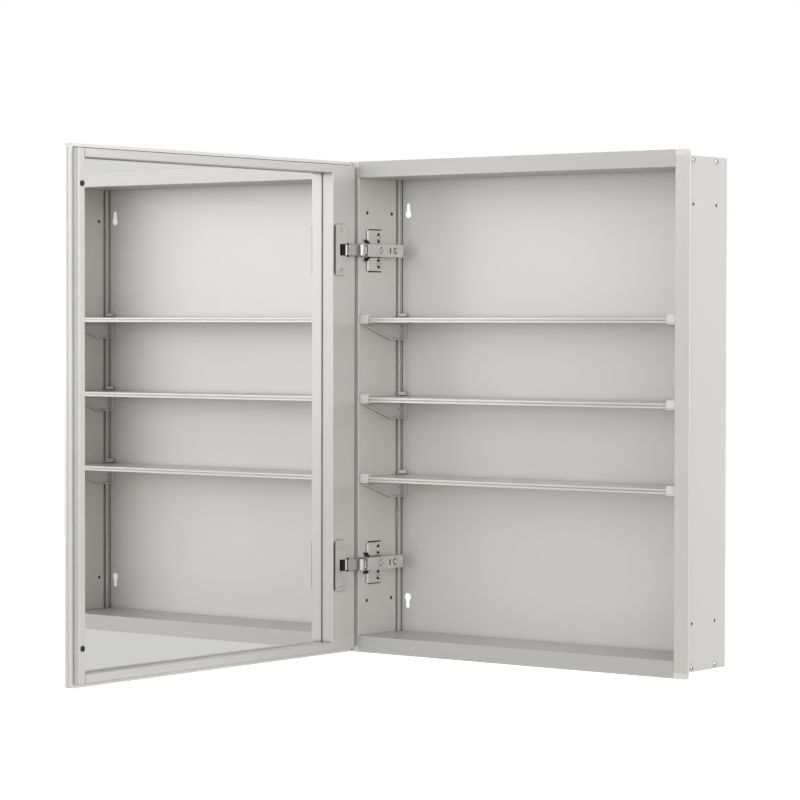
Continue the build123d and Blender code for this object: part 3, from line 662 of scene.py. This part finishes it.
plateSetup = {
    "front": 15.6, "rear": 45.2, "half": 25.4, "corner": 3.2, "bend": 0.6,
    "sheet": (0.5, 2.6), "rim": 0.55,
    "inner": 8.6, "notch": (12.6, 20.6),            # level and depth where the inner front corner is cut
    "screwDepth": 37.0, "screwOffset": 16.0, "slot": (6.0, 12.6),
    # painted shade: the throat beside the arm's nose and the rail under the arm are dark sheets
    "throat": ((9.6, 13.6), (20.8, 11.2), (20.8, 7.9), (13.0, 8.6)), "throatSheet": (0.02, 1.4),
    "roll": (0.3, 2.9, 15.0, 18.4, 1.2), "rollEnds": (0.8, 0.4), "rollRim": 0.4,    # painted highlight: the bright rolled front
    "under": (19.0, 44.6, 26.8, 1.0), "underSheet": (0.01, 0.7),                    # painted shade: a dark sheet under the plate
    "rail": (22.4, 64.0, 6.4, 9.0), "railCorner": 0.5, "railRim": 0.3,
    "thinRim": 0.1,
}


def makePlate(setup, name, level):
    form = bmesh.new()
    plain, dark, bright = range(3)
    front, rear, half, inner = setup["front"], setup["rear"], setup["half"], setup["inner"]
    bend, corner, thinRim = setup["bend"], setup["corner"], setup["thinRim"]
    innerLevel, innerDepth = setup["notch"]
    innerGap, outerGap = setup["rollEnds"]
    low, high, rollFront, rollRear, rollRadius = setup["roll"]
    for side in (-1, 1):
        wing = rounded([(front, side * innerLevel), (innerDepth, side * inner), (rear, side * inner),
                        (rear, side * half), (front, side * half)], (bend, bend, bend, corner, corner))
        slot = upright(setup["screwDepth"], side * setup["screwOffset"], *setup["slot"])
        addSheet(form, "wall", [wing, slot], *setup["sheet"], setup["rim"], plain)
        throat = [(d, side * z) for d, z in setup["throat"]]
        addSheet(form, "wall", [throat], *setup["throatSheet"], thinRim, dark)
        ends = sorted((side * (innerLevel + innerGap), side * (half - outerGap)))
        roll = block(low, high, rollFront, rollRear, rollRadius)
        addSheet(form, "side", [roll], *ends, setup["rollRim"], bright)
    underFront, underRear, underHalf, underCorner = setup["under"]
    under = block(underFront, underRear, -underHalf, underHalf, underCorner)
    addSheet(form, "wall", [under], *setup["underSheet"], thinRim, dark)
    start, end, railHalf, top = setup["rail"]
    rail = block(start, end, -railHalf, railHalf, setup["railCorner"])
    addSheet(form, "wall", [rail], setup["sheet"][0], top, setup["railRim"], dark)
    seatForm(form, "mountingPlate" + name.capitalize(), ("nickelSteel", "paintedShadeBlack", "nickelPaintedHighlight"), level,
             "hinge_plate_" + name, "case")


armSetup = {
    "half": 7.85, "wall": 1.0, "top": (13.8, 15.0), "front": 0.2, "rear": 71.6, "tip": -8.6, "tipHalf": 6.8,
    "step": 15.3, "foot": (0.3, 2.9), "cheekTop": 0.4, "rim": 0.3,
    "frontScrew": (27.5, 4.1), "rearScrew": (56.0, 4.1), "slot": (45.2, 2.4, 7.6),
    # painted highlight: the nose pin and the knuckle are in the bright nickel
    "noseSlot": (-3.8, 6.4, 13.6), "nosePin": (-3.8, 2.5, 10.2), "pinSink": (0.9, 0.1),
    "liner": (3.3, 3.4, 0.2), "linerSink": (0.5, 0.1), "linerRim": 0.05,    # painted shade: the dark sheet in the nose slot
    "knuckle": (12.4, -9.4, 2.55), "knuckleRim": 0.4,
    "heel": (0.8, 0.5, 6.0, 0.2),                   # end wall: thickness, inset, foot and rounding
}


def makeArm(setup, name, level):
    form = bmesh.new()
    plain, bright, dark = range(3)
    half, tipHalf, rim = setup["half"], setup["tipHalf"], setup["rim"]
    front, rear, tip = setup["front"], setup["rear"], setup["tip"]
    low, high = setup["top"]
    top = rounded([(tip, -tipHalf), (front, -tipHalf), (front, -half), (rear, -half),
                   (rear, half), (front, half), (front, tipHalf), (tip, tipHalf)], rim)
    holes = [disc(depth, 0, radius) for depth, radius in (setup["frontScrew"], setup["rearScrew"])]
    holes += [upright(depth, 0, width, length) for depth, width, length in (setup["slot"], setup["noseSlot"])]
    addSheet(form, "wall", [top] + holes, low, high, rim, plain)
    pinDepth, pinWidth, pinLength = setup["nosePin"]
    below, sunk = setup["pinSink"]
    addSheet(form, "wall", [upright(pinDepth, 0, pinWidth, pinLength)], low - below, high - sunk, rim, bright)
    ahead, behind, inset = setup["liner"]
    below, sunk = setup["linerSink"]
    liner = block(pinDepth - ahead, pinDepth + behind, inset - tipHalf, tipHalf - inset)
    addSheet(form, "wall", [liner], low - below, low - sunk, setup["linerRim"], dark)
    lowFoot, highFoot = setup["foot"]
    cheekTop = high - setup["cheekTop"]
    cheek = [(lowFoot, front), (lowFoot, setup["step"]), (highFoot, setup["step"]), (highFoot, rear),
             (cheekTop, rear), (cheekTop, front)]
    for side in (-1, 1):
        ends = sorted((side * half, side * (half - setup["wall"])))
        addSheet(form, "side", [cheek], *ends, rim, plain)
    addSheet(form, "side", [disc(*setup["knuckle"])], -tipHalf, tipHalf, setup["knuckleRim"], bright)
    thick, inset, foot, bend = setup["heel"]
    heel = block(rear - thick, rear, inset - half, half - inset, bend)
    addSheet(form, "wall", [heel], highFoot + foot, high - bend, bend, plain)
    seatForm(form, "arm" + name.capitalize(), ("nickelSteel", "nickelPaintedHighlight", "paintedShadeBlack"), level,
             "hinge_arm_" + name, "case")


# distances along the link start at the cup's pin
linkSetup = {
    "pin": (-4.3, -27.7), "end": (7.5, -3.5), "half": 6.6, "thick": 1.2, "root": 1.9, "sheetRim": 0.1,
    "lip": (4.3, 1.5, 2.2), "joint": 1.7,           # start, rise and length of the lip, which carries a painted highlight, then a dark joint of painted shade
    "ear": (2.0, 1.05, 1.4), "earRim": 0.15,
    "sleeve": 1.5, "sleeveGap": 0.1,
    "roll": 0.9, "rollRim": 0.2,
}


def makeLink(setup, name, level):
    form = bmesh.new()
    plain, dark, bright = range(3)
    pin = Vector(setup["pin"])
    run = Vector(setup["end"]) - pin
    along = run.normalized()
    lift = Vector((along.y, -along.x))
    half = setup["half"]
    thick = setup["thick"] / 2
    thinRim = setup["sheetRim"]

    def spot(t, n):
        return tuple(pin + along * t + lift * n)

    lipAt, lipRise, lipLength = setup["lip"]
    lipEnd = lipAt + lipLength
    webStart = lipEnd + setup["joint"]
    length = run.length - setup["roll"]
    # painted shade on the root, the joint, the ears and the sleeve, and a painted highlight on the lip
    for start, stop, top, paint in ((setup["root"], lipAt, thick, dark), (lipAt, lipEnd, lipRise, bright),
                                    (lipEnd, webStart, thick, dark), (webStart, length, thick, plain)):
        outline = [spot(start, -thick), spot(stop, -thick), spot(stop, top), spot(start, top)]
        addSheet(form, "side", [outline], -half, half, thinRim, paint)
    addSheet(form, "side", [disc(*spot(length, 0), setup["roll"])], -half, half, setup["rollRim"], plain)
    outer, inner, earThick = setup["ear"]
    for low, high in ((-half, earThick - half), (half - earThick, half)):
        addSheet(form, "side", [disc(*pin, outer), disc(*pin, inner)], low, high, setup["earRim"], dark)
    sleeveEnd = half - earThick - setup["sleeveGap"]
    sleeve = [disc(*pin, setup["sleeve"]), disc(*pin, inner)]
    addSheet(form, "side", sleeve, -sleeveEnd, sleeveEnd, thinRim, dark)
    seatForm(form, "lever" + name.capitalize(), ("linkSteel", "paintedShadeBlack", "nickelPaintedHighlight"), level,
             "hinge_link_" + name, "link_" + name)


cupSetup = {
    "face": (-1.4, 1.0), "far": -46.6, "near": -25.0, "half": 31.2, "corner": 3.0, "rim": 0.3,
    "window": (-38.2, 7.2), "windowCorner": (0.4, 0.6), "screw": (-35.6, 24.0, 1.75),
    "shadedEdge": (0.6, -0.9),                      # reach of the far edge that is painted darker as shade, and how its faces look
    "pocket": (-41.1, -18.6, 7.2, 1.2, -14.2),      # far, near, half height, wall and floor
    "pocketGap": 0.02, "pocketRim": 0.1,
}


def makeCup(setup, name, level):
    form = bmesh.new()
    plain, shaded, dark = range(3)
    low, high = setup["face"]
    far, near, half, corner = setup["far"], setup["near"], setup["half"], setup["corner"]
    windowFar, windowHalf = setup["window"]
    mouth, bend = setup["windowCorner"]
    plate = rounded([(far, -half), (near, -half), (near, -windowHalf), (windowFar, -windowHalf),
                     (windowFar, windowHalf), (near, windowHalf), (near, half), (far, half)],
                    (corner, corner, mouth, bend, bend, mouth, corner, corner))
    depth, offset, radius = setup["screw"]
    holes = [disc(depth, -offset, radius), disc(depth, offset, radius)]
    addSheet(form, "wall", [plate] + holes, low, high, setup["rim"], plain)
    reach, facing = setup["shadedEdge"]
    for face in form.faces:
        if face.normal.y < facing and face.calc_center_median().y < far + reach:
            face.material_index = shaded
    # painted shade: the pocket under the window is lined in black
    pocketFar, pocketNear, pocketHalf, wall, floor = setup["pocket"]
    start, end = pocketFar - wall, pocketNear + wall
    roof = low - setup["pocketGap"]
    thinRim = setup["pocketRim"]
    bottom = block(start, end, -pocketHalf - wall, pocketHalf + wall)
    addSheet(form, "wall", [bottom], floor - wall, floor, thinRim, dark)
    for side in (-1, 1):
        ends = sorted((side * pocketHalf, side * (pocketHalf + wall)))
        addSheet(form, "wall", [block(start, end, *ends)], floor, roof, thinRim, dark)
    for one in (start, pocketNear):
        addSheet(form, "wall", [block(one, one + wall, -pocketHalf, pocketHalf)], floor, roof, thinRim, dark)
    seatForm(form, "cup" + name.capitalize(), ("nickelSteel", "sheetRim", "paintedShadeBlack"), level,
             "hinge_cup_" + name, "door")


for hingeName, hingeLevel in hingeLevels.items():
    makePlate(plateSetup, hingeName, hingeLevel)
    makeArm(armSetup, hingeName, hingeLevel)
    makeLink(linkSetup, hingeName, hingeLevel)
    makeCup(cupSetup, hingeName, hingeLevel)
print("hinges made at", list(hingeLevels.values()))


# thin seams, in metres: dark strips of painted shade in the joints and scores of the case, and on the door
# the mirror's dark seal, partly painted shade of its gap, and the painted shadow line between the trim
# and the top rail

seamSetup = {
    "half": 0.2847,
    "case": (
        ((-0.2320, -0.2311), (-0.0016, -0.00125)),      # where the sides meet the back
        ((0.2311, 0.2320), (-0.0016, -0.00125)),
        ((-0.2327, -0.23245), (-0.00455, -0.00385)),    # in the scores of the sides
        ((0.23245, 0.2327), (-0.00455, -0.00385)),
    ),
    "seal": ((-0.24990, -0.24950), (-0.13990, -0.13962)),
    "sealHalf": 0.2893,
    "shadowLine": (0.0001, 0.0013),                     # thickness and height above the top rail
}


# a strip between two heights, without rounded rims
def addStrip(form, x0, x1, y0, y1, z0, z1):
    addSheet(form, "side", [block(x0, x1, y0, y1)], z0, z1, 0)


def finishSeams(form, body, paint):
    piece = addPiece(form, "seams_" + body, (paint,))
    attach(piece, body)


def makeSeams(setup):
    half = setup["half"]
    form = bmesh.new()
    for (x0, x1), (y0, y1) in setup["case"]:
        addStrip(form, x0, x1, y0, y1, -half, half)
    finishSeams(form, "case", "sheetRim")
    form = bmesh.new()
    (x0, x1), (y0, y1) = setup["seal"]
    addStrip(form, x0, x1, y0, y1, -setup["sealHalf"], setup["sealHalf"])
    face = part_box("door_trim_top")[1].x
    thickness, height = setup["shadowLine"]
    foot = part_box("door_rail_top")[1].z
    y0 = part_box("door_stile_free")[0].y
    y1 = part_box("door_stile_hinge")[1].y
    addStrip(form, face, face + thickness, y0, y1, foot, foot + height)
    finishSeams(form, "door", "sealAndShadowStrip")


makeSeams(seamSetup)


# shade in the side holes: a dark disc in each hole, laid by geometry nodes

holeSetup = {
    "level": 0.242,
    "depths": (0.017, 0.067),
    "radius": 0.0022,
    "across": (-0.2444, -0.2320, 0.2320, 0.2444),
    "thickness": 0.0003,
    "sides": 20,
    "seed": 5,
}


def holeTree(material, sides):
    tree, given = startTree("holeShades", "Places", ("Radius", "Thickness"), "Shades")
    add = tree.nodes.new
    link = tree.links.new
    button = add("GeometryNodeMeshCylinder")
    button.inputs["Vertices"].default_value = sides
    link(given["Radius"], button.inputs["Radius"])
    link(given["Thickness"], button.inputs["Depth"])
    turned = add("GeometryNodeTransform")
    link(button.outputs["Mesh"], turned.inputs["Geometry"])
    turned.inputs["Rotation"].default_value = (0, math.radians(90), 0)
    layItems(tree, given["Places"], turned.outputs["Geometry"], given["Seed"], material)
    return tree


def makeHoleShades(setup):
    places = [(x, depth - caseDepth, side * setup["level"])
              for x in setup["across"] for depth in setup["depths"] for side in (-1, 1)]
    tree = holeTree(finishes["paintedShadeBlack"], setup["sides"])
    piece = bakeNodes(seatPoints("hole_shades", places), tree,
                      {"Radius": setup["radius"], "Thickness": setup["thickness"], "Seed": setup["seed"]})
    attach(piece, "case")


makeHoleShades(holeSetup)
print("seams and hole shades made")


# shade in the slots of the shelf brackets, in metres

bracketShade = {
    "plate": (0.0005, 0.0019),        # from the side wall, within the bracket's plate
    "slot": (-0.0065, -0.0055),
    "lip": 0.0015,
    "ledge": 0.0016,
}


def makeBracketShades(setup, level):
    form = bmesh.new()
    body = "shelf_" + level
    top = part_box(body)[0].z - setup["ledge"]
    near, far = setup["plate"]
    back, front = setup["slot"]
    for side in ("left", "right"):
        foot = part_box("shelf_bracket_%s_%s" % (level, side))[0].z + setup["lip"]
        sign = -1 if side == "left" else 1
        x0, x1 = sorted((sign * (wallX - near), sign * (wallX - far)))
        addStrip(form, x0, x1, back, front, foot, top)
    piece = addPiece(form, "bracketShades" + level.capitalize(), ("paintedShadeBlack",))
    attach(piece, body)


for level in ("upper", "middle", "lower"):
    makeBracketShades(bracketShade, level)
print("bracket shades made")


# the inner mirror: a bevelled sheet whose silvered face leans a little in its rebate

innerMirror = {
    "lean": 0.0013,       # from the free side to the hinge side, within the glass
    "bevel": 0.0004,
}


def makeInnerMirror(setup):
    low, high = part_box("inner_mirror")
    form = bmesh.new()
    inset = setup["bevel"]

    def faceX(y):
        return high.x - setup["lean"] * (y - low.y) / (high.y - low.y)

    def ring(gap, sink):
        corners = ((low.y + gap, low.z + gap), (high.y - gap, low.z + gap), (high.y - gap, high.z - gap),
                   (low.y + gap, high.z - gap))
        return [form.verts.new((faceX(y) - sink if sink is not None else low.x, y, z)) for y, z in corners]

    back, side, front = ring(0, None), ring(0, inset / 4), ring(inset, 0)
    form.faces.new(back)
    form.faces.new(front)
    for first, second in ((back, side), (side, front)):
        for i in range(4):
            form.faces.new((first[i], first[i - 1], second[i - 1], second[i]))
    bmesh.ops.recalc_face_normals(form, faces=form.faces)
    sheet = addPiece(form, "innerMirrorSheet", ("mirrorGlass",))
    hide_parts("inner_mirror")
    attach(sheet, "door")


makeInnerMirror(innerMirror)
print("inner mirror made")


# floor, world and lamps

stageSetup = {
    "floorDrop": 0.60,             # the cabinet hangs this far above the floor
    "floorSize": 16.0,
    "floorColour": srgb(205, 200, 194),
    "floorGlow": 0.75,             # added for camera rays, so that the floor reads white
    "floorRoughness": 0.8,
    "floorSpecular": 0.2,
    "background": 1.0,
    "mirrored": (0.70, 0.78),      # background that metal and glass show, low and high
    "mirroredFloor": 0.66,
    "ambient": (1.60, 0.68),       # light from below and from above the horizon
    "horizon": (-0.35, 0.55),      # heights between which the background changes
}

lampAim = (0.0, -0.1, 0.0)

# place and size in metres, power in watts
lamps = {
    "keySoftbox": {"place": (2.5, -2.3, 0.75), "size": (1.6, 1.6), "power": 12},
    "rightSoftbox": {"place": (2.7, -0.9, 0.7), "size": (1.6, 1.6), "power": 8},
    "rearRightSoftbox": {"place": (2.8, 0.5, 0.6), "size": (1.4, 1.4), "power": 22},
    "frontSoftbox": {"place": (1.4, -3.4, 0.7), "size": (1.6, 1.6), "power": 17},
    "leftSoftbox": {"place": (-2.7, -1.0, 0.8), "size": (1.6, 1.6), "power": 29},
    "overheadSoftbox": {"place": (0.2, -1.0, 1.0), "size": (0.8, 0.8), "power": 1.6},
}


# the background's strength by height, one range for metal and glass and one for soft light
def addWorld(setup):
    world = bpy.data.worlds.new("studio")
    scene.world = world
    world.use_nodes = True
    tree = world.node_tree
    tree.nodes.clear()
    link = tree.links.new
    paths = tree.nodes.new("ShaderNodeLightPath")
    direction = tree.nodes.new("ShaderNodeTexCoord")
    split = tree.nodes.new("ShaderNodeSeparateXYZ")
    link(direction.outputs["Generated"], split.inputs["Vector"])

    def byHeight(low, high):
        node = tree.nodes.new("ShaderNodeMapRange")
        node.interpolation_type = "SMOOTHSTEP"
        node.inputs["From Min"].default_value = setup["horizon"][0]
        node.inputs["From Max"].default_value = setup["horizon"][1]
        node.inputs["To Min"].default_value = low
        node.inputs["To Max"].default_value = high
        link(split.outputs["Z"], node.inputs["Value"])
        return node.outputs["Result"]

    def choose(flag, without, given):
        node = tree.nodes.new("ShaderNodeMix")
        link(flag, node.inputs["Factor"])
        link(without, node.inputs["A"])
        if isinstance(given, float):
            node.inputs["B"].default_value = given
        else:
            link(given, node.inputs["B"])
        return node.outputs["Result"]

    shown = byHeight(*setup["mirrored"])
    strength = choose(paths.outputs["Is Glossy Ray"], byHeight(*setup["ambient"]), shown)
    strength = choose(paths.outputs["Is Transmission Ray"], strength, shown)
    strength = choose(paths.outputs["Is Camera Ray"], strength, setup["background"])
    background = tree.nodes.new("ShaderNodeBackground")
    background.inputs["Color"].default_value = (1, 1, 1, 1)
    link(strength, background.inputs["Strength"])
    out = tree.nodes.new("ShaderNodeOutputWorld")
    link(background.outputs["Background"], out.inputs["Surface"])


def addFloor(setup):
    level = cadBox[0].z - setup["floorDrop"]
    half = setup["floorSize"] / 2
    mesh = bpy.data.meshes.new("floor")
    corners = [(-half, -half, level), (half, -half, level), (half, half, level), (-half, half, level)]
    mesh.from_pydata(corners, [], [(0, 1, 2, 3)])
    floor = bpy.data.objects.new("floor", mesh)
    scene.collection.objects.link(floor)
    material, tree, shader = newMaterial("paleFloor")
    shader.inputs["Base Color"].default_value = setup["floorColour"]
    shader.inputs["Roughness"].default_value = setup["floorRoughness"]
    shader.inputs["Specular IOR Level"].default_value = setup["floorSpecular"]
    paths = tree.nodes.new("ShaderNodeLightPath")
    glow = tree.nodes.new("ShaderNodeMath")
    glow.operation = "MULTIPLY"
    glow.inputs[1].default_value = setup["floorGlow"]
    tree.links.new(paths.outputs["Is Camera Ray"], glow.inputs[0])
    shader.inputs["Emission Color"].default_value = (1, 1, 1, 1)
    tree.links.new(glow.outputs[0], shader.inputs["Emission Strength"])
    shown = tree.nodes.new("ShaderNodeEmission")
    shown.inputs["Strength"].default_value = setup["mirroredFloor"]
    blend = tree.nodes.new("ShaderNodeMixShader")
    tree.links.new(paths.outputs["Is Glossy Ray"], blend.inputs["Fac"])
    tree.links.new(shader.outputs["BSDF"], blend.inputs[1])
    tree.links.new(shown.outputs["Emission"], blend.inputs[2])
    out = next(node for node in tree.nodes if node.type == "OUTPUT_MATERIAL")
    tree.links.new(blend.outputs["Shader"], out.inputs["Surface"])
    mesh.materials.append(material)


def addLamp(name, setup):
    data = bpy.data.lights.new(name, "AREA")
    data.shape = "RECTANGLE"
    data.size, data.size_y = setup["size"]
    data.energy = setup["power"]
    lamp = bpy.data.objects.new(name, data)
    lamp.location = setup["place"]
    ray = Vector(lampAim) - Vector(setup["place"])
    lamp.rotation_euler = ray.to_track_quat("-Z", "Y").to_euler()
    scene.collection.objects.link(lamp)


addWorld(stageSetup)
addFloor(stageSetup)
for lampName, lampSetup in lamps.items():
    addLamp(lampName, lampSetup)
print("floor, world and", len(lamps), "lamps set")
